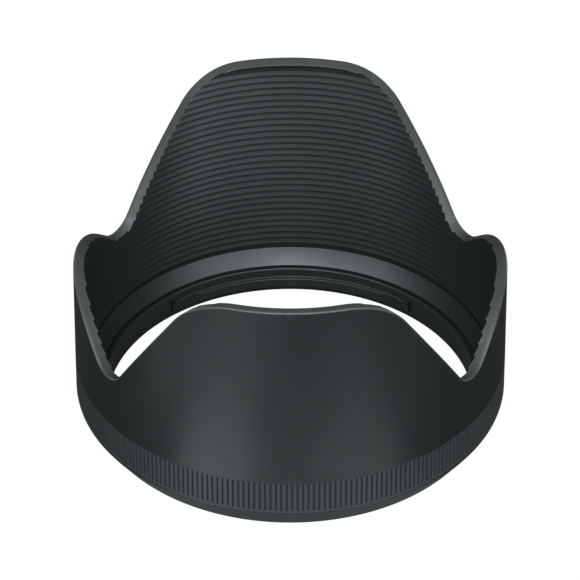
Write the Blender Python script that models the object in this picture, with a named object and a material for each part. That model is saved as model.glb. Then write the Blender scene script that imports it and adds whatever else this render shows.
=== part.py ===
"""Petal-type bayonet lens hood, standing on its mount end with the petals up.

Origin: centre of the foot's underside.  +Z is the optical axis, the long petals are at +Y and -Y
and the short petals at +X and -X.  Lengths are metres; MM turns millimetres into metres.
"""
import math

import bmesh
import bpy
from mathutils import Matrix, Vector

MM = 0.001

# ---- driving dimensions, in millimetres ----
BODY_RADIUS = 42.8          # outside of the shell, the grip band and the foot's lip
DRAFT = 0.005               # the shell narrows this much per millimetre of height
PETAL_HEIGHT = 54.2         # top of the long petals above the foot
SIDE_PETAL_HEIGHT = 34.6    # top of the short petals
NOTCH_CORNER = (26.1, 22.2)  # where the two flank lines of a notch would meet: arc length, height
SIDE_FLANK_SLOPE = 0.78     # rise per millimetre of arc, on the short petal's flank
LONG_FLANK_SLOPE = 1.43     # the same on the long petal's flank
SIDE_CROWN_RADIUS = 29.4    # arc over the top of a short petal
NOTCH_RADIUS = 5.2          # arc in the bottom of a notch
SHOULDER_RADIUS = 15.4      # arc between a long petal's flank and its top
RIM_CHAMFER = 0.5           # bevel on the rim's outer edge

CREST_RADIUS = 40.3         # inner tips of the light-trap ribs
RIB_DEPTH = 0.42
RIB_PITCH = 1.5
RIB_UNDERCUT = 0.1          # height of a rib's underside
RIB_SLOPE = 0.7             # height of a rib's sloping upper face
RIB_LEAN = 0.12             # how far a groove's wall leans in on its way down
RIB_COUNT = 29
FIRST_TIP = 51.42           # height of the top rib's tip
LIP_BOTTOM = 53.3           # the rim's smooth inner lip ends here on the long petals

BAND_BOTTOM = 6.1           # grip band, between the foot's lip and the shell's shoulder
BAND_TOP = 13.1
SEAT_RADIUS = 41.6          # the shell's wall under the grip band
GRIP_RIBS = 256
GRIP_GROOVE_DEPTH = 0.5
GRIP_LAND_SHARE = 0.62      # part of the pitch that is a rib's flat top

BORE_RADIUS = 36.7          # the mount's inside
BORE_EDGE = 0.1             # small bevel at the bore's lower edge
FOOT_CORNER = 38.92         # where the foot's bevel would meet its underside
FOOT_ROUND = 2.2            # arc between the underside and the bevel
LIP_LOW = 5.4               # where the foot's bevel meets the full radius
PAN_FLOOR = 4.1             # the bayonet ring's floor, which the shell's flange stands on
COLLAR_TOP = 5.3
COLLAR_WALL = 0.55
CONE_TOP = (40.47, 8.1)     # radius and height of the conical throat's two edges
CONE_LOW = (38.25, 5.15)
GUTTER = (40.7, 7.9)        # bottom of the gutter between the throat and the ribbed wall

LUG_HALF_ANGLES = (41.5, 32.2)   # degrees either side of +Y and -Y, upper and lower step
LUG_RADII = (36.35, 35.9)
LUG_TOPS = (3.57, 3.28)
LUG_BOTTOM = 1.2
LUG_STEP_RISE = 0.1         # the inner step's underside lies this much higher
LUG_FACETS = (16, 13)       # flats along the two steps; unequal, so that no edges coincide

NUB_REACH = 0.5             # how far a detent nub stands into the bore
NUB_WIDTH = 3.4
NUB_BOTTOM, NUB_TOP = 2.3, 3.6
NUB_FLANGE_RADII = (37.95, 38.35)
NUB_FLANGE_WIDTH = 5.2
POCKET_RADII = (37.65, 39.4)
POCKET_FLOOR = 2.0
POCKET_WIDTH = 12.6
SPRING_THICKNESS = 0.25
SPRING_HALF_LENGTH = 5.9
SPRING_MIDDLE = 38.65       # distance of the leaf's inner face from the axis, at its middle
SPRING_BOW = 0.2            # and how much closer to the pocket's back its ends lie

DOT_RADIUS = 1.1            # inlaid index marks on the back petal
BAR_SIZE = (0.9, 3.2)
MARK_HEIGHT = 18.5
BAR_ANGLE = 22.0            # degrees round from the dot
MARK_THICKNESS = 0.45

GAP = 0.3                   # left between neighbouring pieces
SEGMENTS = 64
OVERSHOOT = 3.0             # how far a cutter runs past what it cuts

COLOURS = {
    "shell": ((0.018, 0.019, 0.020, 1.0), 0.42, 0.0),
    "grip": ((0.022, 0.023, 0.024, 1.0), 0.55, 0.0),
    "mount": ((0.016, 0.016, 0.017, 1.0), 0.38, 0.0),
    "nub": ((0.030, 0.030, 0.032, 1.0), 0.30, 0.0),
    "spring": ((0.62, 0.61, 0.58, 1.0), 0.28, 1.0),
    "mark": ((0.78, 0.78, 0.76, 1.0), 0.50, 0.0),
}


def material(kind):
    """The Principled material of one kind of piece, made once."""
    found = bpy.data.materials.get(kind)
    if found:
        return found
    colour, roughness, metallic = COLOURS[kind]
    made = bpy.data.materials.new(kind)
    made.use_nodes = True
    shader = made.node_tree.nodes["Principled BSDF"]
    shader.inputs["Base Color"].default_value = colour
    shader.inputs["Roughness"].default_value = roughness
    shader.inputs["Metallic"].default_value = metallic
    made.diffuse_color = colour
    return made


def make_object(name, mesh_data, kind=None):
    """Turn a bmesh into an object; a piece gets a material, a cutter gets none and stays hidden."""
    bmesh.ops.recalc_face_normals(mesh_data, faces=mesh_data.faces)
    mesh = bpy.data.meshes.new(name)
    mesh_data.to_mesh(mesh)
    mesh_data.free()
    piece = bpy.data.objects.new(name, mesh)
    bpy.context.scene.collection.objects.link(piece)
    if kind:
        mesh.materials.append(material(kind))
        mesh.shade_smooth()
        mesh.set_sharp_from_angle(angle=math.radians(28.0))
    else:
        piece.hide_render = True
        piece.display_type = "WIRE"
    return piece


def combine(piece, other, operation):
    """Add an exact Boolean with another object to a piece."""
    step = piece.modifiers.new(operation.title() + " " + other.name, "BOOLEAN")
    step.operation = operation
    step.solver = "EXACT"
    step.object = other
    other.hide_render = True
    other.display_type = "WIRE"


def polar(radius, angle, height):
    """A point given in millimetres and radians, in metres."""
    return Vector((radius * math.cos(angle), radius * math.sin(angle), height)) * MM


def turned(profile, segments=SEGMENTS):
    """A closed (radius, height) profile spun all the way round Z."""
    made = bmesh.new()
    ring = [made.verts.new(polar(radius, 0.0, height)) for radius, height in profile]
    edges = [made.edges.new((ring[i - 1], ring[i])) for i in range(len(ring))]
    bmesh.ops.spin(
        made, geom=ring + edges, axis=(0, 0, 1), cent=(0, 0, 0),
        angle=math.tau, steps=segments, use_merge=True,
    )
    return made


def sector(profile, middle, half_angle, steps):
    """A closed (radius, height) profile swept part of the way round Z, with both ends capped."""
    made = bmesh.new()
    columns = []
    for i in range(steps + 1):
        angle = middle + half_angle * (2.0 * i / steps - 1.0)
        columns.append([made.verts.new(polar(radius, angle, height)) for radius, height in profile])
    for first, second in zip(columns, columns[1:]):
        for i in range(len(profile)):
            made.faces.new((first[i - 1], first[i], second[i], second[i - 1]))
    made.faces.new(columns[0])
    made.faces.new(list(reversed(columns[-1])))
    return made


def block(size, centre, turn=0.0):
    """A box of the given size; centre and turn place it round Z."""
    made = bmesh.new()
    bmesh.ops.create_cube(made, size=1.0)
    scale = Matrix.Diagonal((size[0] * MM, size[1] * MM, size[2] * MM, 1.0))
    place = Matrix.Rotation(turn, 4, "Z") @ Matrix.Translation(Vector(centre) * MM)
    bmesh.ops.transform(made, matrix=place @ scale, verts=made.verts)
    return made


def rounded_corners(points, radii, steps=8):
    """An open line of straight stretches whose inner corners are replaced by arcs."""
    line = [Vector(points[0])]
    for before, corner, after, radius in zip(points, points[1:], points[2:], radii):
        corner = Vector(corner)
        back = (Vector(before) - corner).normalized()
        ahead = (Vector(after) - corner).normalized()
        half = back.angle(ahead) / 2.0
        centre = corner + (back + ahead).normalized() * (radius / math.sin(half))
        start = corner + back * (radius / math.tan(half))
        sweep = math.pi - 2.0 * half
        side = math.copysign(1.0, back.cross(ahead))
        for i in range(steps + 1):
            turn = Matrix.Rotation(-side * sweep * i / steps, 2)
            line.append(centre + turn @ (start - centre))
    line.append(Vector(points[-1]))
    return line


def petal_outline():
    """A quarter of the rim, from a short petal's middle to a long one's: arc length and height."""
    quarter = BODY_RADIUS * math.pi / 2.0
    notch_arc, notch_height = NOTCH_CORNER
    side_arc = notch_arc - (SIDE_PETAL_HEIGHT - notch_height) / SIDE_FLANK_SLOPE
    long_arc = notch_arc + (PETAL_HEIGHT - notch_height) / LONG_FLANK_SLOPE
    corners = [
        (0.0, SIDE_PETAL_HEIGHT), (side_arc, SIDE_PETAL_HEIGHT), NOTCH_CORNER,
        (long_arc, PETAL_HEIGHT), (quarter, PETAL_HEIGHT),
    ]
    return rounded_corners(corners, [SIDE_CROWN_RADIUS, NOTCH_RADIUS, SHOULDER_RADIUS])


def outline_all_round():
    """The whole rim as (angle, height) pairs: the quarter mirrored into the other three."""
    quarter = [(point.x / BODY_RADIUS, point.y) for point in petal_outline()]
    half = quarter + [(math.pi - angle, height) for angle, height in reversed(quarter[1:-1])]
    half.append((math.pi, SIDE_PETAL_HEIGHT))
    return half + [(angle + math.pi, height) for angle, height in half[1:-1]]


def rim_cutter():
    """Everything above the petals' rim, with the bevel of the rim's outer edge."""
    bevel_start = BODY_RADIUS - DRAFT * PETAL_HEIGHT - RIM_CHAMFER
    inner, outer = CREST_RADIUS - OVERSHOOT, bevel_start + OVERSHOOT
    top = PETAL_HEIGHT + 2.0 * OVERSHOOT
    made = bmesh.new()
    columns = []
    for angle, height in outline_all_round():
        section = [(inner, height), (bevel_start, height), (outer, height - OVERSHOOT),
                   (outer, top), (inner, top)]
        columns.append([made.verts.new(polar(radius, angle, level)) for radius, level in section])
    for i, column in enumerate(columns):
        previous = columns[i - 1]
        for j in range(len(column)):
            made.faces.new((previous[j - 1], previous[j], column[j], column[j - 1]))
    bmesh.ops.triangulate(made, faces=made.faces)
    return make_object("rim cutter", made)


def shell_profile():
    """Half section of the shell: seat and wall outside, light-trap ribs and throat cone inside."""
    blank_top = PETAL_HEIGHT + OVERSHOOT
    blank_radius = BODY_RADIUS - DRAFT * (blank_top - BAND_TOP)
    root = CREST_RADIUS + RIB_DEPTH
    profile = [
        (CONE_LOW[0], PAN_FLOOR + GAP), (SEAT_RADIUS, PAN_FLOOR + GAP), (SEAT_RADIUS, BAND_TOP),
        (BODY_RADIUS, BAND_TOP), (blank_radius, blank_top), (CREST_RADIUS, blank_top),
        (CREST_RADIUS, LIP_BOTTOM), (root, LIP_BOTTOM - RIB_UNDERCUT),
    ]
    for i in range(RIB_COUNT):
        tip = FIRST_TIP - RIB_PITCH * i
        profile.append((root - RIB_LEAN, tip + RIB_SLOPE))
        profile.append((CREST_RADIUS, tip))
        profile.append((root, tip - RIB_UNDERCUT))
    profile.append(GUTTER)
    profile.append(CONE_TOP)
    profile.append(CONE_LOW)
    return profile


def mark_pocket(kind, size, angle):
    """A cutter for the recess that an index mark lies in."""
    face = BODY_RADIUS - DRAFT * (MARK_HEIGHT - BAND_TOP)
    depth = MARK_THICKNESS + GAP
    middle = face - depth + OVERSHOOT / 2.0
    if kind == "dot":
        return make_object("dot pocket", round_plug(size + GAP, OVERSHOOT, middle, angle))
    made = block((OVERSHOOT, size[0] + 2.0 * GAP, size[1] + 2.0 * GAP), (middle, 0, MARK_HEIGHT), angle)
    return make_object("bar pocket", made)


def round_plug(radius, length, middle, angle, sides=20):
    """A short cylinder lying along the radius at the marks' height."""
    made = bmesh.new()
    bmesh.ops.create_cone(
        made, cap_ends=True, segments=sides,
        radius1=radius * MM, radius2=radius * MM, depth=length * MM,
    )
    place = Matrix.Rotation(angle, 4, "Z") @ Matrix.Translation(Vector((middle, 0, MARK_HEIGHT)) * MM)
    bmesh.ops.transform(made, matrix=place @ Matrix.Rotation(math.pi / 2.0, 4, "Y"), verts=made.verts)
    return made


def hood_shell():
    """The moulded shell with its four petals."""
    shell = make_object("hood_shell", turned(shell_profile()), "shell")
    combine(shell, rim_cutter(), "DIFFERENCE")
    combine(shell, mark_pocket("dot", DOT_RADIUS, math.pi / 2.0), "DIFFERENCE")
    bar_turn = math.pi / 2.0 - math.radians(BAR_ANGLE)
    combine(shell, mark_pocket("bar", BAR_SIZE, bar_turn), "DIFFERENCE")
    return shell


def index_marks():
    """The dot and the bar inlaid in the back petal, their faces just under the shell's surface."""
    face = BODY_RADIUS - DRAFT * (MARK_HEIGHT - BAND_TOP)
    middle = face - MARK_THICKNESS / 2.0
    dot = round_plug(DOT_RADIUS, MARK_THICKNESS, middle, math.pi / 2.0)
    make_object("index_dot", dot, "mark")
    bar_turn = math.pi / 2.0 - math.radians(BAR_ANGLE)
    bar = block((MARK_THICKNESS, BAR_SIZE[0], BAR_SIZE[1]), (middle, 0, MARK_HEIGHT), bar_turn)
    make_object("index_bar", bar, "mark")


def grip_ring():
    """The ribbed band: flat-topped vertical ribs with narrow grooves between them."""
    inner = SEAT_RADIUS + GAP
    low, high = BAND_BOTTOM + GAP / 2.0, BAND_TOP - GAP
    pitch = math.tau / GRIP_RIBS
    ribs_per_chord = 4
    made = bmesh.new()
    outside = {low: [], high: []}
    inside = {low: [], high: []}
    for level in (low, high):
        for i in range(GRIP_RIBS):
            start = pitch * i
            groove = start + pitch * (1.0 + GRIP_LAND_SHARE) / 2.0
            outside[level].append(made.verts.new(polar(BODY_RADIUS, start, level)))
            outside[level].append(made.verts.new(polar(BODY_RADIUS, start + pitch * GRIP_LAND_SHARE, level)))
            outside[level].append(made.verts.new(polar(BODY_RADIUS - GRIP_GROOVE_DEPTH, groove, level)))
            if i % ribs_per_chord == 0:
                inside[level].append(made.verts.new(polar(inner, start, level)))
    for ring in (outside, inside):
        for i in range(len(ring[low])):
            made.faces.new((ring[low][i - 1], ring[low][i], ring[high][i], ring[high][i - 1]))
    points_per_chord = 3 * ribs_per_chord
    for level in (low, high):
        chords = len(inside[level])
        for i in range(chords):
            first = i * points_per_chord
            arc = [outside[level][(first + k) % len(outside[level])] for k in range(points_per_chord + 1)]
            made.faces.new(arc + [inside[level][(i + 1) % chords], inside[level][i]])
    return make_object("grip_ring", made, "grip")


def ring_profile():
    """Half section of the bayonet ring: rounded foot, outer lip, pan floor and inner collar."""
    corners = [(BORE_RADIUS + BORE_EDGE, 0.0), (FOOT_CORNER, 0.0), (BODY_RADIUS, LIP_LOW)]
    foot = [(point.x, point.y) for point in rounded_corners(corners, [FOOT_ROUND], steps=5)]
    return foot + [
        (BODY_RADIUS, BAND_BOTTOM - GAP / 2.0), (SEAT_RADIUS + GAP, BAND_BOTTOM - GAP / 2.0),
        (SEAT_RADIUS + GAP, PAN_FLOOR), (BORE_RADIUS + COLLAR_WALL, PAN_FLOOR),
        (BORE_RADIUS + COLLAR_WALL, COLLAR_TOP), (BORE_RADIUS, COLLAR_TOP), (BORE_RADIUS, BORE_EDGE),
    ]


def lug(name, middle, step):
    """One step of a bayonet lug: the first roots in the bore's wall, the second in the first."""
    root = (BORE_RADIUS + COLLAR_WALL / 2.0, (BORE_RADIUS + LUG_RADII[0]) / 2.0)[step]
    radius, top = LUG_RADII[step], LUG_TOPS[step]
    bottom = LUG_BOTTOM + LUG_STEP_RISE * step
    section = [(root, bottom), (radius, bottom), (radius, top), (root, top)]
    made = sector(section, middle, math.radians(LUG_HALF_ANGLES[step]), LUG_FACETS[step])
    return make_object(name, made)


def bayonet_ring():
    """The foot and mount: bore, two stepped lugs, and a pocket with a window for each detent."""
    ring = make_object("bayonet_ring", turned(ring_profile()), "mount")
    for side, middle in (("back", math.pi / 2.0), ("front", -math.pi / 2.0)):
        for step in range(len(LUG_TOPS)):
            combine(ring, lug(f"{side} lug step {step}", middle, step), "UNION")
    pocket_depth = POCKET_RADII[1] - POCKET_RADII[0]
    pocket_top = PAN_FLOOR + OVERSHOOT
    window_width = NUB_WIDTH + 2.0 * GAP
    window_top = NUB_TOP + GAP
    for side, turn in (("right", 0.0), ("left", math.pi)):
        pocket = block(
            (pocket_depth, POCKET_WIDTH, pocket_top - POCKET_FLOOR),
            (sum(POCKET_RADII) / 2.0, 0, (pocket_top + POCKET_FLOOR) / 2.0), turn,
        )
        combine(ring, make_object(f"{side} pocket", pocket), "DIFFERENCE")
        window = block(
            (OVERSHOOT, window_width, window_top - POCKET_FLOOR),
            (POCKET_RADII[0] + GAP - OVERSHOOT / 2.0, 0, (window_top + POCKET_FLOOR) / 2.0), turn,
        )
        combine(ring, make_object(f"{side} window", window), "DIFFERENCE")
    return ring


def detent_nub(name, turn):
    """A flanged nub whose rounded nose stands into the bore."""
    nose_radius = NUB_WIDTH * 0.62
    tip = BORE_RADIUS - NUB_REACH
    half_width = NUB_WIDTH / 2.0
    flange_half = NUB_FLANGE_WIDTH / 2.0
    half_angle = math.asin(half_width / nose_radius)
    outline = []
    for i in range(9):
        angle = half_angle * (i / 4.0 - 1.0)
        outline.append((tip + nose_radius * (1.0 - math.cos(angle)), nose_radius * math.sin(angle)))
    outline += [
        (NUB_FLANGE_RADII[0], half_width), (NUB_FLANGE_RADII[0], flange_half),
        (NUB_FLANGE_RADII[1], flange_half), (NUB_FLANGE_RADII[1], -flange_half),
        (NUB_FLANGE_RADII[0], -flange_half), (NUB_FLANGE_RADII[0], -half_width),
    ]
    made = bmesh.new()
    face = made.faces.new([made.verts.new(Vector((x, y, NUB_BOTTOM)) * MM) for x, y in outline])
    grown = bmesh.ops.extrude_face_region(made, geom=[face])
    lifted = [item for item in grown["geom"] if isinstance(item, bmesh.types.BMVert)]
    bmesh.ops.translate(made, vec=(0, 0, (NUB_TOP - NUB_BOTTOM) * MM), verts=lifted)
    joint_point = Vector((tip, 0.0, (NUB_BOTTOM + NUB_TOP) / 2.0)) * MM
    bmesh.ops.translate(made, vec=-joint_point, verts=made.verts)
    nub = make_object(name, made, "nub")
    nub.location = Matrix.Rotation(turn, 4, "Z") @ joint_point
    nub.rotation_euler = (0.0, 0.0, turn)
    return nub


def detent_spring(name, turn, steps=14):
    """A bowed leaf standing in its pocket behind the nub."""
    made = bmesh.new()
    low, high = NUB_BOTTOM + 0.05, NUB_TOP - 0.05
    columns = []
    for i in range(steps + 1):
        across = 2.0 * i / steps - 1.0
        near = SPRING_MIDDLE + SPRING_BOW * across * across
        y = SPRING_HALF_LENGTH * across
        far = near + SPRING_THICKNESS
        section = [(near, low), (far, low), (far, high), (near, high)]
        columns.append([made.verts.new(Vector((x, y, z)) * MM) for x, z in section])
    for first, second in zip(columns, columns[1:]):
        for i in range(4):
            made.faces.new((first[i - 1], first[i], second[i], second[i - 1]))
    made.faces.new(columns[0])
    made.faces.new(list(reversed(columns[-1])))
    spring = make_object(name, made, "spring")
    spring.rotation_euler = (0.0, 0.0, turn)
    return spring


def main():
    for old in list(bpy.data.objects):
        bpy.data.objects.remove(old, do_unlink=True)
    hood_shell()
    index_marks()
    grip_ring()
    bayonet_ring()
    for side, turn in (("right", 0.0), ("left", math.pi)):
        detent_nub(f"detent_nub_{side}", turn)
        detent_spring(f"detent_spring_{side}", turn)


main()
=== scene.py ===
"""Looks for the petal-type lens hood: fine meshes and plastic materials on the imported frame.

Lengths in the constants are millimetres, as in the part's own source; MM turns them into metres.
+Z is the hood's axis, the long petals are at +Y and -Y and the short ones at +X and -X.
"""
import math

import bmesh
import bpy
import numpy as np
from mathutils import Matrix, Vector


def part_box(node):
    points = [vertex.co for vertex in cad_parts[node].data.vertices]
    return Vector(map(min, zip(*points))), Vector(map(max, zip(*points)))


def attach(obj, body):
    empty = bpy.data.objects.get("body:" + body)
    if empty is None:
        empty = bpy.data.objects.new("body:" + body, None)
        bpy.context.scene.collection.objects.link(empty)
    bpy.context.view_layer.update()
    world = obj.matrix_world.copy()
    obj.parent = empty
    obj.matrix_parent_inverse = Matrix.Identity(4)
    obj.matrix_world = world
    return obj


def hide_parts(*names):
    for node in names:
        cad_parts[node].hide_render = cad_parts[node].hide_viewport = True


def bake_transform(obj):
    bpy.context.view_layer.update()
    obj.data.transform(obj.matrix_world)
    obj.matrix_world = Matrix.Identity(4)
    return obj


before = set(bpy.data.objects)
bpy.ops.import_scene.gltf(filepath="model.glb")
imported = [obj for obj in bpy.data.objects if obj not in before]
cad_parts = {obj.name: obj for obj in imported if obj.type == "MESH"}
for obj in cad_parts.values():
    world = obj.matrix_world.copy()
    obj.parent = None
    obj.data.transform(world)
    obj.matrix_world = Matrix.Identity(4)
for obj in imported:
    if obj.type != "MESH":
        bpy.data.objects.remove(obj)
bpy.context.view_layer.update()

MM = 0.001


def millimetres(node):
    """The two corners of a CAD node's box, in millimetres."""
    low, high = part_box(node)
    return low / MM, high / MM


shell_low, shell_high = millimetres("hood_shell")
ring_high = millimetres("bayonet_ring")[1]
nub_low, nub_high = millimetres("detent_nub_right")
dot_low, dot_high = millimetres("index_dot")
bar_low, bar_high = millimetres("index_bar")

# ---- sizes taken from the frame ----
BODY_RADIUS = ring_high.x
PETAL_HEIGHT = shell_high.z
SHELL_FLOOR = shell_low.z
MARK_HEIGHT = (dot_low.z + dot_high.z) / 2.0

# ---- sizes of the shell ----
DRAFT = 0.005               # the wall leans in by this much per unit of height
SHELL_CORNER = 0.10         # rounding of the shell's lower outer corner
SIDE_PETAL_HEIGHT = 34.6
NOTCH_CORNER = (26.1, 22.2)     # arc length from the side petal's middle, height
SIDE_FLANK_SLOPE = 0.78
LONG_FLANK_SLOPE = 1.43
SIDE_CROWN_RADIUS = 29.4
NOTCH_RADIUS = 5.2
SHOULDER_RADIUS = 15.4
RIM_ROUND = 0.36            # rounding of the rim's outer edge
RIM_FALL = 0.46             # the rim's face falls this much from the outside to the ribs' tips
RIM_EDGE = 0.04             # broken inner edge of the rim
RIM_BEND = 0.35             # where that edge's middle point lies, as a share of its size
RIM_MARGIN = 1.02           # the rim's cutter ends this much below the rounding
RIM_CLEAR = (2.5, 0.5)      # how far the rim's cutter runs on outside the wall, across and down
CREST_RADIUS = 40.3         # inner tips of the light-trap ribs
RIB_DEPTH = 0.42
RIB_PITCH = 1.5
RIB_UNDERCUT = 0.1          # height of a rib's underside
RIB_SLOPE = 0.70            # height of a rib's sloping upper face
RIB_LEAN = 0.12             # how far a groove's wall leans in on its way down
RIB_COUNT = 29
RIB_ROUND = 0.09            # broken edge of a rib's tip
RIB_FILLET = (0.03, 0.06, 0.03)     # inset, rise and drop of the small chamfer in a groove
RIB_CROWN = (0.05, 0.108)   # the tip's upper edge: set back, rise
FIRST_TIP = 51.42           # height of the top rib's tip
LIP_BOTTOM = 53.3           # the rim's smooth inner lip ends here on the long petals
CONE_TOP = (40.47, 8.10)    # radius and height of the conical throat's upper edge
CONE_LOW = (38.25, 5.15)
CONE_PULL = (39.48, 6.52)   # control point that makes the throat slightly hollow
CONE_STEPS = 7
GUTTER = (40.7, 7.9)        # bottom of the gutter between the cone and the ribbed wall

# ---- sizes of the grip band ----
BAND_BOTTOM = 6.1
BAND_TOP = 13.1
BAND_OVERLAP = 0.15         # the band reaches this far below BAND_BOTTOM
BAND_SEAT_GAP = 0.3         # from the seat's radius to the inside of the band and the foot's lip
SEAT_RADIUS = 41.6
GRIP_RIBS = 256
GRIP_GROOVE_DEPTH = 0.42
GROOVE_SHARE = 0.34         # part of the pitch that a groove takes
GROOVE_LOW, GROOVE_HIGH = 6.2, 13.0
GROOVE_RUN = 0.12           # height over which a groove's end rises to the surface
PARTING = 0.02              # hairline left between the band and its neighbours

# ---- sizes of the bayonet ring ----
BORE_RADIUS = 36.7
BORE_EDGE = 0.08
BORE_ROWS = (0.3, 4.4)      # extra rows of points on the bore, below and above the lugs
FOOT_CORNER = 38.92         # radius at which the foot's bevel would start without its rounding
FOOT_ROUND = 2.2
LIP_LOW = 5.4               # height at which the bevel reaches the body's radius
LIP_ROUND = 0.9
LIP_STEP = 0.04             # height of the last row of faces below the band
PAN_FLOOR = 4.1             # floor of the pan that the shell's flange sits in
COLLAR_TOP = 5.3
COLLAR_WALL = 0.55
COLLAR_EDGE = 0.075         # broken inner edge of the collar
COLLAR_BEND = (0.12, 0.04, 0.035)   # outer edge: its size, and where its middle point lies
LUG_HALF_ANGLES = (41.5, 32.2)  # degrees, upper and lower step
LUG_RADII = (36.35, 35.9)
LUG_TOPS = (3.57, 3.28)
LUG_BOTTOMS = (1.2, 1.3)
LUG_ROUND = 0.045           # broken edges of the lugs
STEP = 0.01                 # height over which a lug's flat face steps to the next radius
LUG_CENTRES = (-90.0, 90.0)
LUG_FADE = 3.0              # degrees over which the lower step's ends fade into the upper step
LUG_RAMP = (5.0, 0.60)      # degrees and height of the lead-in at the upper step's ends
SLOT_WIDTH = 0.55           # relief slot beside each lug's end
SLOT_DEPTH = 0.35
SLOT_LOW = (1.08, 1.12)     # heights between which the slot's floor and roof step back to the bore
SLOT_HIGH = (3.9, 3.95)
POCKET_RADII = (37.65, 39.4)
POCKET_FLOOR = 2.0
POCKET_WIDTH = 12.6
POCKET_HEIGHT = 6.0
WINDOW_REACH = 0.3          # the window's cutter reaches this far into the pocket

# ---- sizes of the detents and marks ----
NUB_HALF_WIDTH = 1.7
NUB_FLANGE = 0.4            # thickness of the flange behind the nose
NUB_CROWN = 1.24            # radius of the nose, as a share of its half width
NUB_EDGE = 0.09
NUB_STEPS = 24
NUB_GAP = 0.12              # between the nub and its window
LEAF_RADIUS = 38.65         # inner face of the leaf at its middle
LEAF_BOW = 0.2
LEAF_THICKNESS = 0.25
LEAF_EDGE = 0.05
LEAF_STEPS = 24
BAR_WIDTH = 0.9
MARK_GAP = 0.04             # between a mark and its recess
MARK_SUNK = 0.02            # how far a mark lies below the wall
MARK_EDGE = 0.06
DOT_SIDES = 40

AROUND = 360                # columns round the shell
MERGE = 1e-7                # metres; closer points are one
CUTTER = 3.0                # how far a cutter or a blank runs past what it shapes


# ---------------------------------------------------------------- mesh helpers

def arc_points(centre, radius, start, stop, steps):
    """Points on an arc, angles in degrees."""
    angles = [math.radians(start + (stop - start) * i / steps) for i in range(steps + 1)]
    return [(centre[0] + radius * math.cos(a), centre[1] + radius * math.sin(a)) for a in angles]


def spun(profile, angles):
    """Columns of a closed (radius, height) profile at the given angles."""
    section = np.array(profile, float)
    turn = np.array(angles, float)
    points = np.empty((len(turn), len(section), 3))
    points[:, :, 0] = section[None, :, 0] * np.cos(turn)[:, None]
    points[:, :, 1] = section[None, :, 0] * np.sin(turn)[:, None]
    points[:, :, 2] = section[None, :, 1]
    return points


def even_angles(count):
    return [math.tau * i / count for i in range(count)]


def tube_mesh(name, columns):
    """A closed ring of closed sections; columns is an array (column, point, xyz) in millimetres."""
    count, size = columns.shape[:2]
    here = np.arange(count)[:, None] * size
    there = ((np.arange(count) + 1) % count)[:, None] * size
    point = np.arange(size)[None, :]
    following = (np.arange(size)[None, :] + 1) % size
    faces = np.stack([here + point, there + point, there + following, here + following], axis=2)
    mesh = bpy.data.meshes.new(name)
    mesh.from_pydata((columns.reshape(-1, 3) * MM).tolist(), [], faces.reshape(-1, 4).tolist())
    return mesh


def clean(mesh):
    """Merge doubled points, drop faces of no area and turn every face outwards."""
    made = bmesh.new()
    made.from_mesh(mesh)
    bmesh.ops.remove_doubles(made, verts=made.verts, dist=MERGE)
    bmesh.ops.dissolve_degenerate(made, edges=made.edges, dist=MERGE)
    bmesh.ops.recalc_face_normals(made, faces=made.faces)
    made.to_mesh(mesh)
    made.free()


def new_object(name, mesh):
    piece = bpy.data.objects.new(name, mesh)
    bpy.context.scene.collection.objects.link(piece)
    return piece


def cut(piece, tools):
    """Take other objects away from a piece; faces that a tool makes carry the tool's material."""
    for tool in tools:
        step = piece.modifiers.new("cut", "BOOLEAN")
        step.operation = "DIFFERENCE"
        step.solver = "EXACT"
        step.object = tool
        step.material_mode = "TRANSFER"
    settle(piece)
    for tool in tools:
        bpy.data.objects.remove(tool, do_unlink=True)


def settle(piece):
    """Replace a piece's mesh by what its modifiers make of it."""
    graph = bpy.context.evaluated_depsgraph_get()
    mesh = bpy.data.meshes.new_from_object(piece.evaluated_get(graph))
    piece.modifiers.clear()
    piece.data = mesh


def smooth(piece, sharp_angle):
    """Smooth shading that follows the larger faces, with real corners kept sharp."""
    piece.data.shade_smooth()
    piece.data.set_sharp_from_angle(angle=math.radians(sharp_angle))
    weights = piece.modifiers.new("weights", "WEIGHTED_NORMAL")
    weights.mode = "FACE_AREA"
    weights.keep_sharp = True
    settle(piece)


def box_mesh(name, size, centre, turn, bevel=0.0):
    """A box at a centre that is given before it is turned round the hood's axis."""
    made = bmesh.new()
    bmesh.ops.create_cube(made, size=1.0)
    scale = Matrix.Diagonal((size[0] * MM, size[1] * MM, size[2] * MM, 1.0))
    bmesh.ops.transform(made, matrix=scale, verts=made.verts)
    if bevel:
        bmesh.ops.bevel(
            made, geom=made.edges[:], offset=bevel * MM, segments=3, profile=0.5, affect="EDGES",
        )
    place = Matrix.Rotation(turn, 4, "Z") @ Matrix.Translation(Vector(centre) * MM)
    bmesh.ops.transform(made, matrix=place, verts=made.verts)
    mesh = bpy.data.meshes.new(name)
    made.to_mesh(mesh)
    made.free()
    return mesh


# ---------------------------------------------------------------- the shell

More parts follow.
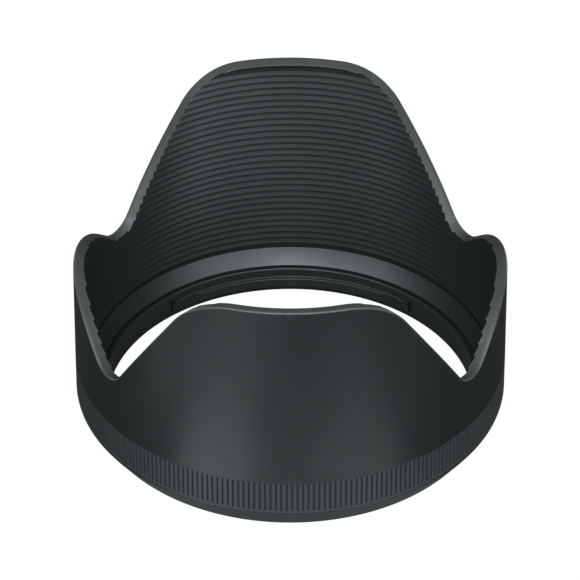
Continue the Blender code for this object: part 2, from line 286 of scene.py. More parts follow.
def rounded_corners(points, radii, spacing=0.35):
    """An open line whose inner corners become arcs, with points no further apart than spacing."""
    line = [np.array(points[0], float)]
    for before, corner, after, radius in zip(points, points[1:], points[2:], radii):
        before, corner, after = (np.array(p, float) for p in (before, corner, after))
        back = (before - corner) / np.linalg.norm(before - corner)
        ahead = (after - corner) / np.linalg.norm(after - corner)
        half = math.acos(max(-1.0, min(1.0, float(back @ ahead)))) / 2.0
        bisector = (back + ahead) / np.linalg.norm(back + ahead)
        centre = corner + bisector * (radius / math.sin(half))
        start = corner + back * (radius / math.tan(half))
        sweep = math.pi - 2.0 * half
        side = math.copysign(1.0, back[0] * ahead[1] - back[1] * ahead[0])
        steps = max(6, int(radius * sweep / spacing))
        for i in range(steps + 1):
            turn = -side * sweep * i / steps
            spin = np.array([[math.cos(turn), -math.sin(turn)], [math.sin(turn), math.cos(turn)]])
            line.append(centre + spin @ (start - centre))
    line.append(np.array(points[-1], float))
    filled = [line[0]]
    for point in line[1:]:
        gap = np.linalg.norm(point - filled[-1])
        pieces = max(1, int(math.ceil(gap / spacing)))
        first = filled[-1]
        filled += [first + (point - first) * (i + 1) / pieces for i in range(pieces)]
    return filled


def petal_outline():
    """The whole rim as (arc length, height) points, unrolled at the body's radius."""
    quarter = BODY_RADIUS * math.pi / 2.0
    notch_arc, notch_height = NOTCH_CORNER
    side_arc = notch_arc - (SIDE_PETAL_HEIGHT - notch_height) / SIDE_FLANK_SLOPE
    long_arc = notch_arc + (PETAL_HEIGHT - notch_height) / LONG_FLANK_SLOPE
    corners = [
        (0.0, SIDE_PETAL_HEIGHT), (side_arc, SIDE_PETAL_HEIGHT), NOTCH_CORNER,
        (long_arc, PETAL_HEIGHT), (quarter, PETAL_HEIGHT),
    ]
    first = rounded_corners(corners, [SIDE_CROWN_RADIUS, NOTCH_RADIUS, SHOULDER_RADIUS])
    first = [(float(p[0]), float(p[1])) for p in first]
    half = first + [(2.0 * quarter - arc, height) for arc, height in reversed(first[:-1])]
    whole = half + [(4.0 * quarter - arc, height) for arc, height in reversed(half[:-1])]
    return whole[:-1]


def wall_radius(height):
    return BODY_RADIUS - DRAFT * (height - BAND_TOP)


def rim_section(outer):
    """The rim across the wall, as (radius, distance below the outline) from inside to outside."""
    flat = outer - RIM_ROUND - CREST_RADIUS
    bend = RIM_BEND * RIM_EDGE
    steps = 9
    start = RIM_FALL * (1.0 - RIM_EDGE / flat)
    section = [
        (CREST_RADIUS - CUTTER, RIM_FALL + 0.9 * CUTTER),
        (CREST_RADIUS, RIM_FALL + RIM_EDGE),
        (CREST_RADIUS + bend, RIM_FALL + bend),
        (CREST_RADIUS + RIM_EDGE, start),
    ]
    for t in (0.33, 0.66):
        section.append((CREST_RADIUS + RIM_EDGE + (flat - RIM_EDGE) * t, start * (1.0 - t)))
    for i in range(steps):
        angle = math.radians(90.0 * i / steps)
        radius = outer - RIM_ROUND + RIM_ROUND * math.sin(angle)
        section.append((radius, RIM_ROUND * (1.0 - math.cos(angle))))
    below = RIM_ROUND * RIM_MARGIN
    section.append((outer + PARTING, below))
    section.append((outer + RIM_CLEAR[0], below + RIM_CLEAR[1]))
    return section


def rim_cutter():
    """Everything above the rim, leaving its rounded outer edge and its slightly sunk face."""
    outline = np.array(petal_outline())
    ahead = np.roll(outline, -1, axis=0)
    behind = np.roll(outline, 1, axis=0)
    whole = BODY_RADIUS * math.tau
    ahead[-1, 0] += whole
    behind[0, 0] -= whole
    along = ahead - behind
    along /= np.linalg.norm(along, axis=1)[:, None]
    up = np.stack([-along[:, 1], along[:, 0]], axis=1)
    top = PETAL_HEIGHT + 2.0 * CUTTER
    columns = []
    for (arc, height), normal in zip(outline, up):
        section = rim_section(wall_radius(height))
        column = []
        for radius, below in section:
            a = (arc - normal[0] * below) / BODY_RADIUS
            column.append((radius * math.cos(a), radius * math.sin(a), height - normal[1] * below))
        a = arc / BODY_RADIUS
        for radius in (section[-1][0], section[0][0]):
            column.append((radius * math.cos(a), radius * math.sin(a), top))
        columns.append(column)
    mesh = tube_mesh("rim cutter", np.array(columns))
    clean(mesh)
    # The rim faces that this cutter leaves on the shell take the lighter rim plastic, which paints
    # light onto the rim.
    mesh.materials.append(RIM_PAINTED_LIGHT)
    return new_object("rim cutter", mesh)


def shell_profile():
    """Half section of the uncut shell, closed, starting at the inner corner of its flange."""
    blank_top = PETAL_HEIGHT + CUTTER
    seat_top = BAND_TOP - PARTING
    profile = [(CONE_LOW[0], SHELL_FLOOR), (SEAT_RADIUS, SHELL_FLOOR), (SEAT_RADIUS, seat_top)]
    bend = (BODY_RADIUS - SHELL_CORNER, BAND_TOP + SHELL_CORNER)
    profile += arc_points(bend, SHELL_CORNER, -90.0, 0.0, 3)
    levels = 20
    for i in range(1, levels + 1):
        height = bend[1] + (blank_top - bend[1]) * i / levels
        profile.append((wall_radius(height), height))
    root = CREST_RADIUS + RIB_DEPTH
    profile += [
        (CREST_RADIUS, blank_top), (CREST_RADIUS, LIP_BOTTOM + 0.5 * RIB_ROUND),
        (CREST_RADIUS + RIB_ROUND, LIP_BOTTOM), (root, LIP_BOTTOM - RIB_UNDERCUT),
    ]
    inset, rise, fall = RIB_FILLET
    for i in range(RIB_COUNT):
        tip = FIRST_TIP - RIB_PITCH * i
        foot = tip + RIB_SLOPE
        profile += [
            (root - RIB_LEAN, foot + rise), (root - RIB_LEAN - inset, foot - fall),
            (CREST_RADIUS + RIB_CROWN[0], tip + RIB_CROWN[1]), (CREST_RADIUS, tip),
            (CREST_RADIUS + RIB_ROUND, tip - 0.5 * RIB_ROUND), (root, tip - RIB_UNDERCUT),
        ]
    profile.append(GUTTER)
    for i in range(CONE_STEPS + 1):
        t = i / CONE_STEPS
        profile.append(tuple(
            (1 - t) ** 2 * CONE_TOP[k] + 2 * t * (1 - t) * CONE_PULL[k] + t * t * CONE_LOW[k]
            for k in range(2)
        ))
    return profile


def mark_plug(radius, depth, middle):
    """A round plug lying along the radius at the dot's place."""
    made = bmesh.new()
    bmesh.ops.create_cone(
        made, cap_ends=True, segments=DOT_SIDES,
        radius1=radius * MM, radius2=radius * MM, depth=depth * MM,
    )
    place = Matrix.Rotation(DOT_TURN, 4, "Z")
    place = place @ Matrix.Translation(Vector((middle, 0, MARK_HEIGHT)) * MM)
    place = place @ Matrix.Rotation(math.pi / 2.0, 4, "Y")
    bmesh.ops.transform(made, matrix=place, verts=made.verts)
    mesh = bpy.data.meshes.new("plug")
    made.to_mesh(mesh)
    made.free()
    return mesh


DOT_TURN = math.pi / 2.0
BAR_TURN = math.atan2((bar_low.y + bar_high.y) / 2.0, (bar_low.x + bar_high.x) / 2.0)
DOT_RADIUS = (dot_high.z - dot_low.z) / 2.0
BAR_LENGTH = bar_high.z - bar_low.z
MARK_THICKNESS = dot_high.y - dot_low.y


def build_shell():
    mesh = tube_mesh("shell_moulding", spun(shell_profile(), even_angles(AROUND)))
    clean(mesh)
    mesh.materials.append(SHELL)
    shell = new_object("shell_moulding", mesh)
    middle = wall_radius(MARK_HEIGHT) - MARK_THICKNESS + CUTTER / 2.0
    dot = new_object("dot recess", mark_plug(DOT_RADIUS + MARK_GAP, CUTTER, middle))
    bar = new_object("bar recess", box_mesh(
        "bar recess", (CUTTER, BAR_WIDTH + 2.0 * MARK_GAP, BAR_LENGTH + 2.0 * MARK_GAP),
        (middle, 0, MARK_HEIGHT), BAR_TURN,
    ))
    cut(shell, [rim_cutter(), dot, bar])
    smooth(shell, sharp_angle=28.0)
    return shell


def build_marks():
    middle = wall_radius(MARK_HEIGHT) - MARK_SUNK - MARK_THICKNESS / 2.0
    dot = new_object("painted_dot", mark_plug(DOT_RADIUS, MARK_THICKNESS, middle))
    bevel = dot.modifiers.new("edge", "BEVEL")
    bevel.width = MARK_EDGE * MM
    bevel.segments = 2
    settle(dot)
    smooth(dot, sharp_angle=40.0)
    bar = new_object("painted_bar", box_mesh(
        "painted_bar", (MARK_THICKNESS, BAR_WIDTH, BAR_LENGTH), (middle, 0, MARK_HEIGHT),
        BAR_TURN, bevel=MARK_EDGE,
    ))
    smooth(bar, sharp_angle=40.0)
    return dot, bar


# ---------------------------------------------------------------- the grip band

def build_grip():
    """The band: ribs with rounded shoulders between narrow grooves closed at both ends."""
    pitch = math.tau / GRIP_RIBS
    half = GROOVE_SHARE / 2.0
    across = [   # place in the pitch, share of the groove's depth
        (0.0, 0.0), (0.5 - half - 0.17, 0.0), (0.5 - half - 0.05, 0.04), (0.5 - half + 0.005, 0.22),
        (0.5 - half * 0.62, 0.86), (0.5 - half * 0.35, 1.0), (0.5 + half * 0.35, 1.0),
        (0.5 + half * 0.62, 0.86), (0.5 + half - 0.005, 0.22), (0.5 + half + 0.05, 0.04),
        (0.5 + half + 0.17, 0.0),
    ]
    bottom, top = BAND_BOTTOM - BAND_OVERLAP + PARTING, BAND_TOP - PARTING
    run_in = ((0.0, 0.0), (0.12, 0.30), (0.5, 0.85), (1.0, 1.0))    # shares of run and depth
    upright = [(bottom, 0.0)]       # height, share of the groove's depth
    upright += [(GROOVE_LOW + part * GROOVE_RUN, share) for part, share in run_in]
    upright.append(((GROOVE_LOW + GROOVE_HIGH) / 2.0, 1.0))
    upright += [(GROOVE_HIGH - part * GROOVE_RUN, share) for part, share in reversed(run_in)]
    upright.append((top, 0.0))
    inner = SEAT_RADIUS + BAND_SEAT_GAP
    columns = []
    for rib in range(GRIP_RIBS):
        for place, share in across:
            angle = pitch * (rib + place)
            ray = (math.cos(angle), math.sin(angle))
            column = []
            for height, run in upright:
                radius = BODY_RADIUS - GRIP_GROOVE_DEPTH * share * run
                column.append((radius * ray[0], radius * ray[1], height))
            column.append((inner * ray[0], inner * ray[1], top))
            column.append((inner * ray[0], inner * ray[1], bottom))
            columns.append(column)
    mesh = tube_mesh("grip_band", np.array(columns))
    clean(mesh)
    band = new_object("grip_band", mesh)
    smooth(band, sharp_angle=38.0)
    return band


# ---------------------------------------------------------------- the bayonet ring

def ring_section(first, second, slot, drop, fade):
    """The ring's closed section at one angle.

    first and second say whether the upper and lower lug steps are there, and slot the relief slot;
    drop lowers the upper step's top, and fade is how far the lower step stands out, from 0 to 1.
    """
    top = LUG_TOPS[0] - drop
    wall = BORE_RADIUS + (SLOT_DEPTH if slot else 0.0)
    upper = LUG_RADII[0] if first else wall
    lower = upper + (LUG_RADII[1] - upper) * fade if second else upper
    upper_edge = upper + (LUG_ROUND if first else 0.0)
    lower_edge = lower + (LUG_ROUND if second else 0.0)
    lip_top = BAND_BOTTOM - BAND_OVERLAP
    corners = [(BORE_RADIUS + BORE_EDGE, 0.0), (FOOT_CORNER, 0.0), (BODY_RADIUS, LIP_LOW),
               (BODY_RADIUS, lip_top - LIP_STEP)]
    section = [tuple(p) for p in rounded_corners(corners, [FOOT_ROUND, LIP_ROUND], spacing=0.6)]
    section += [(BODY_RADIUS, lip_top), (SEAT_RADIUS + BAND_SEAT_GAP, lip_top),
                (SEAT_RADIUS + BAND_SEAT_GAP, PAN_FLOOR)]
    outside = BORE_RADIUS + COLLAR_WALL
    bend, inwards, down = COLLAR_BEND
    section += [(outside, PAN_FLOOR), (outside, COLLAR_TOP - bend),
                (outside - inwards, COLLAR_TOP - down), (outside - bend, COLLAR_TOP),
                (BORE_RADIUS + COLLAR_EDGE, COLLAR_TOP), (BORE_RADIUS, COLLAR_TOP - COLLAR_EDGE)]
    section += [(BORE_RADIUS, BORE_ROWS[1]), (BORE_RADIUS, SLOT_HIGH[1]), (wall, SLOT_HIGH[0]),
                (wall, top + STEP), (upper_edge, top), (upper, top - LUG_ROUND)]
    section += [(upper, LUG_TOPS[1] + STEP), (lower_edge, LUG_TOPS[1]),
                (lower, LUG_TOPS[1] - LUG_ROUND), (lower, LUG_BOTTOMS[1] + LUG_ROUND),
                (lower_edge, LUG_BOTTOMS[1]), (upper, LUG_BOTTOMS[1] - STEP)]
    section += [(upper, LUG_BOTTOMS[0] + 2.0 * STEP), (wall, LUG_BOTTOMS[0]), (wall, SLOT_LOW[1]),
                (BORE_RADIUS, SLOT_LOW[0]), (BORE_RADIUS, BORE_ROWS[0]), (BORE_RADIUS, BORE_EDGE)]
    return section


def ring_columns():
    """The ring's columns: about one a degree, and two at each angle where the section changes."""
    slot_angle = math.degrees(SLOT_WIDTH / BORE_RADIUS)
    outer, inner = LUG_HALF_ANGLES
    plain = (False, False, False)
    pieces = []     # start, stop, (upper step, lower step, slot)
    place = -180.0
    for middle in LUG_CENTRES:
        pieces += [
            (place, middle - outer - slot_angle, plain),
            (middle - outer - slot_angle, middle - outer, (False, False, True)),
            (middle - outer, middle - inner, (True, False, False)),
            (middle - inner, middle + inner, (True, True, False)),
            (middle + inner, middle + outer, (True, False, False)),
            (middle + outer, middle + outer + slot_angle, (False, False, True)),
        ]
        place = middle + outer + slot_angle
    pieces.append((place, 180.0, plain))
    columns = []
    for start, stop, kind in pieces:
        count = max(1, int(round(stop - start)))
        for i in range(count + 1):
            angle = start + (stop - start) * i / count
            inset = outer - min(abs(angle - middle) for middle in LUG_CENTRES)
            drop = LUG_RAMP[1] * max(0.0, 1.0 - inset / LUG_RAMP[0]) if kind[0] else 0.0
            fade = min(1.0, (inset - outer + inner) / LUG_FADE) if kind[1] else 0.0
            turn = math.radians(angle)
            section = ring_section(*kind, drop, fade)
            columns.append([(r * math.cos(turn), r * math.sin(turn), z) for r, z in section])
    return np.array(columns)


def build_ring():
    mesh = tube_mesh("mount_ring", ring_columns())
    clean(mesh)
    ring = new_object("mount_ring", mesh)
    depth = POCKET_RADII[1] - POCKET_RADII[0]
    window = (CUTTER, 2.0 * (NUB_HALF_WIDTH + NUB_GAP), nub_high.z - POCKET_FLOOR + NUB_GAP)
    tools = []
    for turn in (0.0, math.pi):
        tools.append(new_object("pocket", box_mesh(
            "pocket", (depth, POCKET_WIDTH, POCKET_HEIGHT),
            (sum(POCKET_RADII) / 2.0, 0, POCKET_FLOOR + POCKET_HEIGHT / 2.0), turn)))
        tools.append(new_object("window", box_mesh(
            "window", window,
            (POCKET_RADII[0] + WINDOW_REACH - CUTTER / 2.0, 0, POCKET_FLOOR + window[2] / 2.0),
            turn)))
    cut(ring, tools)
    smooth(ring, sharp_angle=30.0)
    return ring


# ---------------------------------------------------------------- detents

def build_nub(name, turn):
    """A flanged nub with a crowned nose, in place at rest."""
    tip = nub_low.x
    flange_half = (nub_high.y - nub_low.y) / 2.0
    crown = NUB_HALF_WIDTH * NUB_CROWN
    half_angle = math.asin(NUB_HALF_WIDTH / crown)
    outline = []
    for i in range(NUB_STEPS + 1):
        angle = half_angle * (2.0 * i / NUB_STEPS - 1.0)
        outline.append((tip + crown * (1.0 - math.cos(angle)), crown * math.sin(angle)))
    front = nub_high.x - NUB_FLANGE
    outline += [(front, NUB_HALF_WIDTH), (front, flange_half), (nub_high.x, flange_half),
                (nub_high.x, -flange_half), (front, -flange_half), (front, -NUB_HALF_WIDTH)]
    made = bmesh.new()
    under, over = (
        [made.verts.new(Vector((x, y, height)) * MM) for x, y in outline]
        for height in (nub_low.z, nub_high.z)
    )
    made.faces.new(under)
    made.faces.new(over)
    for i in range(len(outline)):
        made.faces.new((under[i - 1], under[i], over[i], over[i - 1]))
    bmesh.ops.recalc_face_normals(made, faces=made.faces)
    bmesh.ops.rotate(made, cent=(0, 0, 0), matrix=Matrix.Rotation(turn, 3, "Z"), verts=made.verts)
    mesh = bpy.data.meshes.new(name)
    made.to_mesh(mesh)
    made.free()
    nub = new_object(name, mesh)
    bevel = nub.modifiers.new("edge", "BEVEL")
    bevel.width = NUB_EDGE * MM
    bevel.segments = 3
    bevel.limit_method = "ANGLE"
    bevel.angle_limit = math.radians(40.0)
    settle(nub)
    smooth(nub, sharp_angle=40.0)
    return nub


def build_spring(name, node, turn, side):
    """Half of a bowed leaf, from its middle to its end at side -1 or +1, with broken edges."""
    low, high = millimetres(node)
    bottom, top, edge = low.z, high.z, LEAF_EDGE
    columns = []
    for i in range(LEAF_STEPS + 1):
        across = side * i / LEAF_STEPS
        near = LEAF_RADIUS + LEAF_BOW * across * across
        far = near + LEAF_THICKNESS
        y = (high.y - low.y) / 2.0 * across
        section = [(near, bottom + edge), (near + edge, bottom), (far - edge, bottom),
                   (far, bottom + edge), (far, top - edge), (far - edge, top),
                   (near + edge, top), (near, top - edge)]
        columns.append([(x, y, z) for x, z in section])
    made = bmesh.new()
    rows = [[made.verts.new(Vector(p) * MM) for p in column] for column in columns]
    for first, second in zip(rows, rows[1:]):
        for i in range(8):
            made.faces.new((first[i - 1], first[i], second[i], second[i - 1]))
    made.faces.new(rows[0])
    made.faces.new(list(reversed(rows[-1])))
    bmesh.ops.recalc_face_normals(made, faces=made.faces)
    bmesh.ops.rotate(made, cent=(0, 0, 0), matrix=Matrix.Rotation(turn, 3, "Z"), verts=made.verts)
    mesh = bpy.data.meshes.new(name)
    made.to_mesh(mesh)
    made.free()
    spring = new_object(name, mesh)
    smooth(spring, sharp_angle=30.0)
    return spring


# ---------------------------------------------------------------- materials

class Nodes:
    """A small helper that lays out one material's node tree."""

    def __init__(self, name):
        self.material = bpy.data.materials.new(name)
        self.material.use_nodes = True
        self.tree = self.material.node_tree
        self.shader = self.tree.nodes["Principled BSDF"]
        coordinates = self.tree.nodes.new("ShaderNodeTexCoord")
        self.place = coordinates.outputs["Object"]

    def link(self, source, target):
        self.tree.links.new(source, target)

    def noise(self, scale, detail, roughness, vector=None):
        node = self.tree.nodes.new("ShaderNodeTexNoise")
        node.inputs["Scale"].default_value = scale
        node.inputs["Detail"].default_value = detail
        node.inputs["Roughness"].default_value = roughness
        self.link(vector or self.place, node.inputs["Vector"])
        return node.outputs["Fac"]

    def stretch(self, scale):
        node = self.tree.nodes.new("ShaderNodeMapping")
        node.inputs["Scale"].default_value = scale
        self.link(self.place, node.inputs["Vector"])
        return node.outputs["Vector"]

    def ramp(self, source, stops):
        node = self.tree.nodes.new("ShaderNodeValToRGB")
        ramp = node.color_ramp
        while len(ramp.elements) < len(stops):
            ramp.elements.new(0.5)
        for element, (position, colour) in zip(ramp.elements, stops):
            element.position = position
            element.color = (*colour, 1.0)
        self.link(source, node.inputs["Fac"])
        return node.outputs["Color"]

    def range(self, source, low, high):
        node = self.tree.nodes.new("ShaderNodeMapRange")
        node.inputs["To Min"].default_value = low
        node.inputs["To Max"].default_value = high
        self.link(source, node.inputs["Value"])
        return node.outputs["Result"]

    def math(self, operation, a, b):
        node = self.tree.nodes.new("ShaderNodeMath")
        node.operation = operation
        for socket, value in zip(node.inputs, (a, b)):
            if isinstance(value, (int, float)):
                socket.default_value = value
            else:
                self.link(value, socket)
        return node.outputs["Value"]

    def mix(self, factor, a, b):
        node = self.tree.nodes.new("ShaderNodeMix")
        node.data_type = "RGBA"
        self.link(factor, node.inputs["Factor"])
        for name, value in (("A", a), ("B", b)):
            socket = [s for s in node.inputs if s.name == name and s.type == "RGBA"][0]
            if isinstance(value, tuple):
                socket.default_value = (*value, 1.0)
            else:
                self.link(value, socket)
        return [s for s in node.outputs if s.type == "RGBA"][0]

    def edges(self, low, high):
        """Convex edges of the mesh, from 0 to 1."""
        node = self.tree.nodes.new("ShaderNodeNewGeometry")
        shaped = self.tree.nodes.new("ShaderNodeMapRange")
        shaped.inputs["From Min"].default_value = low
        shaped.inputs["From Max"].default_value = high
        self.link(node.outputs["Pointiness"], shaped.inputs["Value"])
        return shaped.outputs["Result"]

    def bump(self, height, strength, distance):
        node = self.tree.nodes.new("ShaderNodeBump")
        node.inputs["Strength"].default_value = strength
        node.inputs["Distance"].default_value = distance
        self.link(height, node.inputs["Height"])
        self.link(node.outputs["Normal"], self.shader.inputs["Normal"])


EDGE_WEAR = 0.25            # how far rubbed edges are lightened and smoothed
EDGE_FROM, EDGE_TO = 0.52, 0.62     # pointiness at which the rubbing begins and is full
EDGE_LIFT = (2.6, 0.01)     # a rubbed edge's colour: the light colour times this, plus this
CLOUD_SCALE = 38.0
PATCH_SCALE = 95.0
PATCH_SPREAD = 0.045        # roughness varies by this much in patches
GRAIN_SPREAD = 0.03         # and by this much with the grain
GRAIN_DEPTH = 0.00003       # metres
FINE_SCALE = 2.7            # the finer grain's scale, as a multiple of the grain's
FINE_DEPTH = 0.5            # the finer grain's height, as a share of the grain's
FINE_TINT = (0.88, 1.12)    # darkest and lightest speck of the finer grain
STREAK_SCALE, STREAK_LENGTH, STREAK_DEPTH = 900.0, 0.06, 0.00001
SOIL_SCALE = 700.0
BRUSH_SCALE, BRUSH_DEPTH = 2600.0, 0.00002      # the paint's surface


def moulded_plastic(name, dark, light, rough, grain_scale, grain_strength):
    """Black plastic with a fine spark-eroded grain, faint handling marks and rubbed edges."""
    m = Nodes(name)
    shader = m.shader
    shader.inputs["Metallic"].default_value = 0.0
    shader.inputs["IOR"].default_value = 1.5
    shader.inputs["Specular IOR Level"].default_value = 0.5
    grain = m.noise(grain_scale, 2.0, 0.5)
    fine = m.noise(grain_scale * FINE_SCALE, 1.0, 0.5)
    clouds = m.noise(CLOUD_SCALE, 4.0, 0.6)
    tint = m.ramp(clouds, [(0.30, dark), (0.72, light)])
    speck = m.ramp(fine, [(0.35, (FINE_TINT[0],) * 3), (0.70, (FINE_TINT[1],) * 3)])
    multiply = m.tree.nodes.new("ShaderNodeMix")
    multiply.data_type = "RGBA"
    multiply.blend_type = "MULTIPLY"
    multiply.inputs["Factor"].default_value = 1.0
    sockets = [s for s in multiply.inputs if s.type == "RGBA"]
    m.link(tint, sockets[0])
    m.link(speck, sockets[1])
    coloured = [s for s in multiply.outputs if s.type == "RGBA"][0]
    rubbed = m.math("MULTIPLY", m.edges(EDGE_FROM, EDGE_TO), EDGE_WEAR)
    edge_colour = tuple(c * EDGE_LIFT[0] + EDGE_LIFT[1] for c in light)
    m.link(m.mix(rubbed, coloured, edge_colour), shader.inputs["Base Color"])
    patches = m.range(m.noise(PATCH_SCALE, 3.0, 0.6), rough - PATCH_SPREAD, rough + PATCH_SPREAD)
    grainy = m.range(grain, -GRAIN_SPREAD, GRAIN_SPREAD)
    uneven = m.math("ADD", patches, grainy)
    m.link(m.math("SUBTRACT", uneven, m.math("MULTIPLY", rubbed, EDGE_WEAR)),
           shader.inputs["Roughness"])
    both = m.math("ADD", grain, m.math("MULTIPLY", fine, FINE_DEPTH))
    m.bump(both, grain_strength, GRAIN_DEPTH)
    return m.material


def steel(name):
    """Bright spring steel with fine marks along the strip."""
    m = Nodes(name)
    m.shader.inputs["Metallic"].default_value = 1.0
    streaks = m.noise(STREAK_SCALE, 3.0, 0.6, m.stretch((1.0, STREAK_LENGTH, 1.0)))
    m.link(m.ramp(streaks, [(0.3, (0.42, 0.41, 0.39)), (0.7, (0.66, 0.65, 0.62))]),
           m.shader.inputs["Base Color"])
    m.link(m.range(streaks, 0.22, 0.40), m.shader.inputs["Roughness"])
    m.bump(streaks, 0.25, STREAK_DEPTH)
    return m.material


def paint(name):
    """White mark paint, slightly uneven and faintly soiled."""
    m = Nodes(name)
    m.shader.inputs["Metallic"].default_value = 0.0
    soil = m.noise(SOIL_SCALE, 4.0, 0.6)
    m.link(m.ramp(soil, [(0.25, (0.62, 0.61, 0.58)), (0.6, (0.80, 0.80, 0.78))]),
           m.shader.inputs["Base Color"])
    m.link(m.range(soil, 0.62, 0.42), m.shader.inputs["Roughness"])
    m.bump(m.noise(BRUSH_SCALE, 2.0, 0.5), 0.2, BRUSH_DEPTH)
    return m.material


def dress(piece, material, body, slot, *nodes):
    """Give a piece its material and body, and hide the CAD nodes that it stands for. The slot
    argument is not used.
    """
    if material:
        piece.data.materials.clear()
        piece.data.materials.append(material)
    if body:
        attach(piece, body)
    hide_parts(*nodes)


# The name, the dark and the light tint, the roughness, and the grain's scale and strength.
SHELL = moulded_plastic(
    "shell plastic", (0.0075, 0.0084, 0.0087), (0.0099, 0.0108, 0.0113), 0.42, 2600.0, 0.35)
# The rim's plastic is the shell plastic made about four times lighter: painted light that stands in
# for the light falling on the rim faces.
RIM_PAINTED_LIGHT = moulded_plastic(
    "rim plastic with painted light", (0.036, 0.0352, 0.0348), (0.043, 0.0418, 0.0412), 0.42, 2600.0, 0.20)
GRIP = moulded_plastic(
    "grip plastic", (0.0185, 0.0207, 0.0213), (0.0240, 0.0263, 0.0270), 0.62, 2200.0, 0.55)
MOUNT = moulded_plastic(
    "mount plastic", (0.0104, 0.0114, 0.0118), (0.0134, 0.0146, 0.0151), 0.42, 2600.0, 0.35)
NUB = moulded_plastic(
    "nub plastic", (0.020, 0.020, 0.022), (0.030, 0.030, 0.032), 0.30, 3000.0, 0.15)
STEEL = steel("spring steel")
PAINT = paint("mark paint")

shell = build_shell()
dress(shell, None, "hood", "shell_plastic", "hood_shell")
band = build_grip()
dress(band, GRIP, "hood", "grip_plastic", "grip_ring")
ring = build_ring()
dress(ring, MOUNT, "hood", "mount_plastic", "bayonet_ring")
dot, bar = build_marks()
dress(dot, PAINT, "hood", "mark_paint", "index_dot")
dress(bar, PAINT, "hood", "mark_paint", "index_bar")
for side, turn in (("right", 0.0), ("left", math.pi)):
    nub = build_nub(f"nub_{side}_nose", turn)
    dress(nub, NUB, f"nub_{side}", "nub_plastic", f"detent_nub_{side}")
    node = f"detent_spring_{side}"
    for part, way in (("a", -1.0), ("b", 1.0)):
        spring = build_spring(f"leaf_spring_{side}_{part}", node, turn, way)
        dress(spring, STEEL, None, "spring_steel", node)
        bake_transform(spring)


# ---------------------------------------------------------------- studio

# Metres from here on.
FLOOR_SIZE = 6.0
FLOOR_DROP = 0.0001
FLOOR_ALBEDO = 0.03
FLOOR_ROUGHNESS = 0.9
LIGHT_TINT = (0.895, 1.0, 1.03)
BORE_GLOW = 0.06            # brightness of the floor inside the bore, in reflections only
FOOT_GLOW = 0.22            # and under the foot's bevel
APRON_GLOW = 0.50           # and just in front of the foot
BORE_RINGS = (0.0350, 0.0362)           # distances from the axis at which a glow ends or begins
FOOT_RINGS = (0.0375, 0.0425, 0.0445)
APRON_RINGS = (0.0450, 0.0500, 0.0530)
APRON_FACING = (-0.55, -0.90)           # y over distance at which the front's glow begins, is full
RAMP_REACH = 0.1                        # distance at the far end of the glow's ramp


def build_floor():
    mesh = bpy.data.meshes.new("floor")
    h = FLOOR_SIZE / 2.0
    mesh.from_pydata([(-h, -h, 0), (h, -h, 0), (h, h, 0), (-h, h, 0)], [], [(0, 1, 2, 3)])
    floor = new_object("floor", mesh)
    floor.location.z = -FLOOR_DROP
    material = bpy.data.materials.new("floor white")
    material.use_nodes = True
    tree = material.node_tree
    shader = tree.nodes["Principled BSDF"]
    shader.inputs["Base Color"].default_value = (FLOOR_ALBEDO, FLOOR_ALBEDO, FLOOR_ALBEDO, 1.0)
    shader.inputs["Roughness"].default_value = FLOOR_ROUGHNESS
    path = tree.nodes.new("ShaderNodeLightPath")
    place = tree.nodes.new("ShaderNodeTexCoord")
    length = tree.nodes.new("ShaderNodeVectorMath")
    length.operation = "LENGTH"
    tree.links.new(place.outputs["Object"], length.inputs[0])
    scaled = tree.nodes.new("ShaderNodeMath")
    scaled.operation = "MULTIPLY"
    scaled.inputs[1].default_value = 1.0 / RAMP_REACH
    tree.links.new(length.outputs["Value"], scaled.inputs[0])

    def rings(stops):
        """Glow by distance from the hood's axis, as (metres, strength) stops."""
        ramp = tree.nodes.new("ShaderNodeValToRGB")
        while len(ramp.color_ramp.elements) < len(stops):
            ramp.color_ramp.elements.new(0.5)
        for element, (radius, strength) in zip(ramp.color_ramp.elements, stops):
            element.position = radius / RAMP_REACH
            element.color = (*(strength * part for part in LIGHT_TINT), 1.0)
        tree.links.new(scaled.outputs["Value"], ramp.inputs["Fac"])
        return ramp.outputs["Color"]

    axes = tree.nodes.new("ShaderNodeSeparateXYZ")
    tree.links.new(place.outputs["Object"], axes.inputs[0])
    facing = tree.nodes.new("ShaderNodeMath")
    facing.operation = "DIVIDE"
    tree.links.new(axes.outputs["Y"], facing.inputs[0])
    tree.links.new(length.outputs["Value"], facing.inputs[1])
    front = tree.nodes.new("ShaderNodeMapRange")
    front.interpolation_type = "SMOOTHSTEP"
    front.inputs["From Min"].default_value = APRON_FACING[0]
    front.inputs["From Max"].default_value = APRON_FACING[1]
    tree.links.new(facing.outputs["Value"], front.inputs["Value"])
    glow = tree.nodes.new("ShaderNodeMix")
    glow.data_type = "RGBA"
    tree.links.new(front.outputs["Result"], glow.inputs["Factor"])
    pair = [socket for socket in glow.inputs if socket.type == "RGBA"]
    around = (
        (BORE_RINGS[0], BORE_GLOW), (BORE_RINGS[1], 0.0),
        (FOOT_RINGS[0], FOOT_GLOW), (FOOT_RINGS[1], FOOT_GLOW),
    )
    apron = ((APRON_RINGS[0], APRON_GLOW), (APRON_RINGS[1], APRON_GLOW), (APRON_RINGS[2], 0.0))
    tree.links.new(rings((*around, (FOOT_RINGS[2], 0.0))), pair[0])
    tree.links.new(rings((*around, *apron)), pair[1])
    lit = [socket for socket in glow.outputs if socket.type == "RGBA"][0]
    seen = tree.nodes.new("ShaderNodeMix")
    seen.data_type = "RGBA"
    colours = [socket for socket in seen.inputs if socket.type == "RGBA"]
    tree.links.new(path.outputs["Is Camera Ray"], seen.inputs["Factor"])
    tree.links.new(lit, colours[0])
    colours[1].default_value = (1.0, 1.0, 1.0, 1.0)
    shown = [socket for socket in seen.outputs if socket.type == "RGBA"][0]
    tree.links.new(shown, shader.inputs["Emission Color"])
    shader.inputs["Emission Strength"].default_value = 1.0
    mesh.materials.append(material)


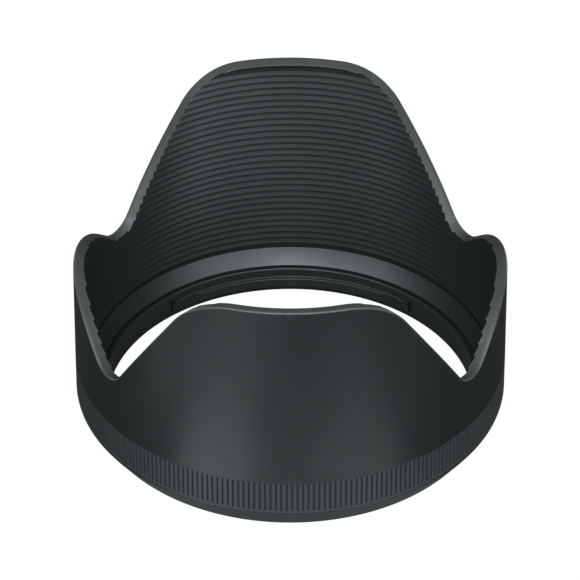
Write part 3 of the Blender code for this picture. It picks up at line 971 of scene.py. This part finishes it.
def area_light(name, shape, size, power, place, target):
    """A slightly cool area light that the camera doesn't see."""
    data = bpy.data.lights.new(name, "AREA")
    data.shape = shape
    data.size = size
    data.energy = power
    data.color = LIGHT_TINT
    lamp = bpy.data.objects.new(name, data)
    bpy.context.scene.collection.objects.link(lamp)
    lamp.location = place
    lamp.rotation_euler = (Vector(target) - Vector(place)).to_track_quat("-Z", "Y").to_euler()
    lamp.visible_camera = False


def softbox(azimuth, elevation, size, power):
    """A softbox at a distance of LIGHT_DISTANCE; azimuth 0 is the front and + goes to the right."""
    turn, lift = math.radians(azimuth), math.radians(elevation)
    place = (
        LIGHT_DISTANCE * math.cos(lift) * math.sin(turn),
        -LIGHT_DISTANCE * math.cos(lift) * math.cos(turn),
        LIGHT_HEIGHT + LIGHT_DISTANCE * math.sin(lift),
    )
    area_light("softbox", "SQUARE", size, power, place, (0.0, 0.0, LIGHT_HEIGHT))


def floor_card(azimuth, radius, size, power):
    """A small glow on the floor in front of the wall, as a reflecting card there would give."""
    turn = math.radians(azimuth)
    place = (radius * math.sin(turn), -radius * math.cos(turn), CARD_HEIGHT)
    area_light("floor card", "DISK", size, power, place, (place[0], place[1], 1.0))


LIGHT_DISTANCE = 0.9
LIGHT_HEIGHT = 0.025
FRONT_AZIMUTHS = (-50, -25, 0, 25, 50)
FRONT_LIGHTS = (            # elevation, size, power at each of the front azimuths
    (50, 0.32, (1.9, 0.55, 4.7, 0.60, 0.95)),
    (30, 0.32, (1.25, 0.75, 1.35, 1.40, 1.55)),
    (8, 0.22, (0.40, 0.30, 0.0, 0.33, 0.85)),
)
REAR_LIGHTS = (             # azimuth, elevation, power
    (-75, 55, 1.1), (75, 55, 0.5), (180, 58, 0.3), (140, 12, 2.0), (220, 12, 2.0),
)
REAR_SIZE = 0.4
OVERHEAD_SIZE, OVERHEAD_POWER, OVERHEAD_HEIGHT = 0.4, 0.9, 0.95
CARD_HEIGHT = 0.0006
FLOOR_CARDS = (             # azimuth, radius, size, power
    (-25, 0.066, 0.034, 0.0045), (0, 0.066, 0.034, 0.0014), (25, 0.066, 0.034, 0.0025),
    (-50, 0.100, 0.050, 0.0045), (-25, 0.100, 0.050, 0.0018), (25, 0.100, 0.050, 0.0014),
    (50, 0.100, 0.050, 0.0010), (-20, 0.165, 0.100, 0.0270),
)

build_floor()
world = bpy.data.worlds.new("studio")
world.use_nodes = True
world.node_tree.nodes["Background"].inputs["Color"].default_value = (1.0, 1.0, 1.0, 1.0)
world.node_tree.nodes["Background"].inputs["Strength"].default_value = 0.0
bpy.context.scene.world = world
for elevation, size, powers in FRONT_LIGHTS:
    for azimuth, power in zip(FRONT_AZIMUTHS, powers):
        if power:
            softbox(azimuth, elevation, size, power)
for azimuth, elevation, power in REAR_LIGHTS:
    softbox(azimuth, elevation, REAR_SIZE, power)
area_light("overhead", "SQUARE", OVERHEAD_SIZE, OVERHEAD_POWER,
           (0.0, 0.0, OVERHEAD_HEIGHT), (0.0, 0.0, LIGHT_HEIGHT))
for azimuth, radius, size, power in FLOOR_CARDS:
    floor_card(azimuth, radius, size, power)

# ---------------------------------------------------------------- camera

CAMERA_DISTANCE = 0.93478
CAMERA_ELEVATION = math.radians(37.098)
CAMERA_AZIMUTH = math.radians(0.2)
AIM = (0.0, 0.0, 0.02743)

lens = bpy.data.cameras.new("camera")
lens.lens = 293.8
lens.sensor_width = 36.0
lens.shift_x = -0.0005
lens.shift_y = 0.0009
lens.clip_start = 0.01
lens.clip_end = 20.0
camera = bpy.data.objects.new("camera", lens)
bpy.context.scene.collection.objects.link(camera)
camera.location = (
    AIM[0] + CAMERA_DISTANCE * math.cos(CAMERA_ELEVATION) * math.sin(CAMERA_AZIMUTH),
    AIM[1] - CAMERA_DISTANCE * math.cos(CAMERA_ELEVATION) * math.cos(CAMERA_AZIMUTH),
    AIM[2] + CAMERA_DISTANCE * math.sin(CAMERA_ELEVATION),
)
camera.rotation_euler = (math.pi / 2.0 - CAMERA_ELEVATION, 0.0, CAMERA_AZIMUTH)
bpy.context.scene.camera = camera
bpy.context.scene.view_settings.view_transform = "Standard"
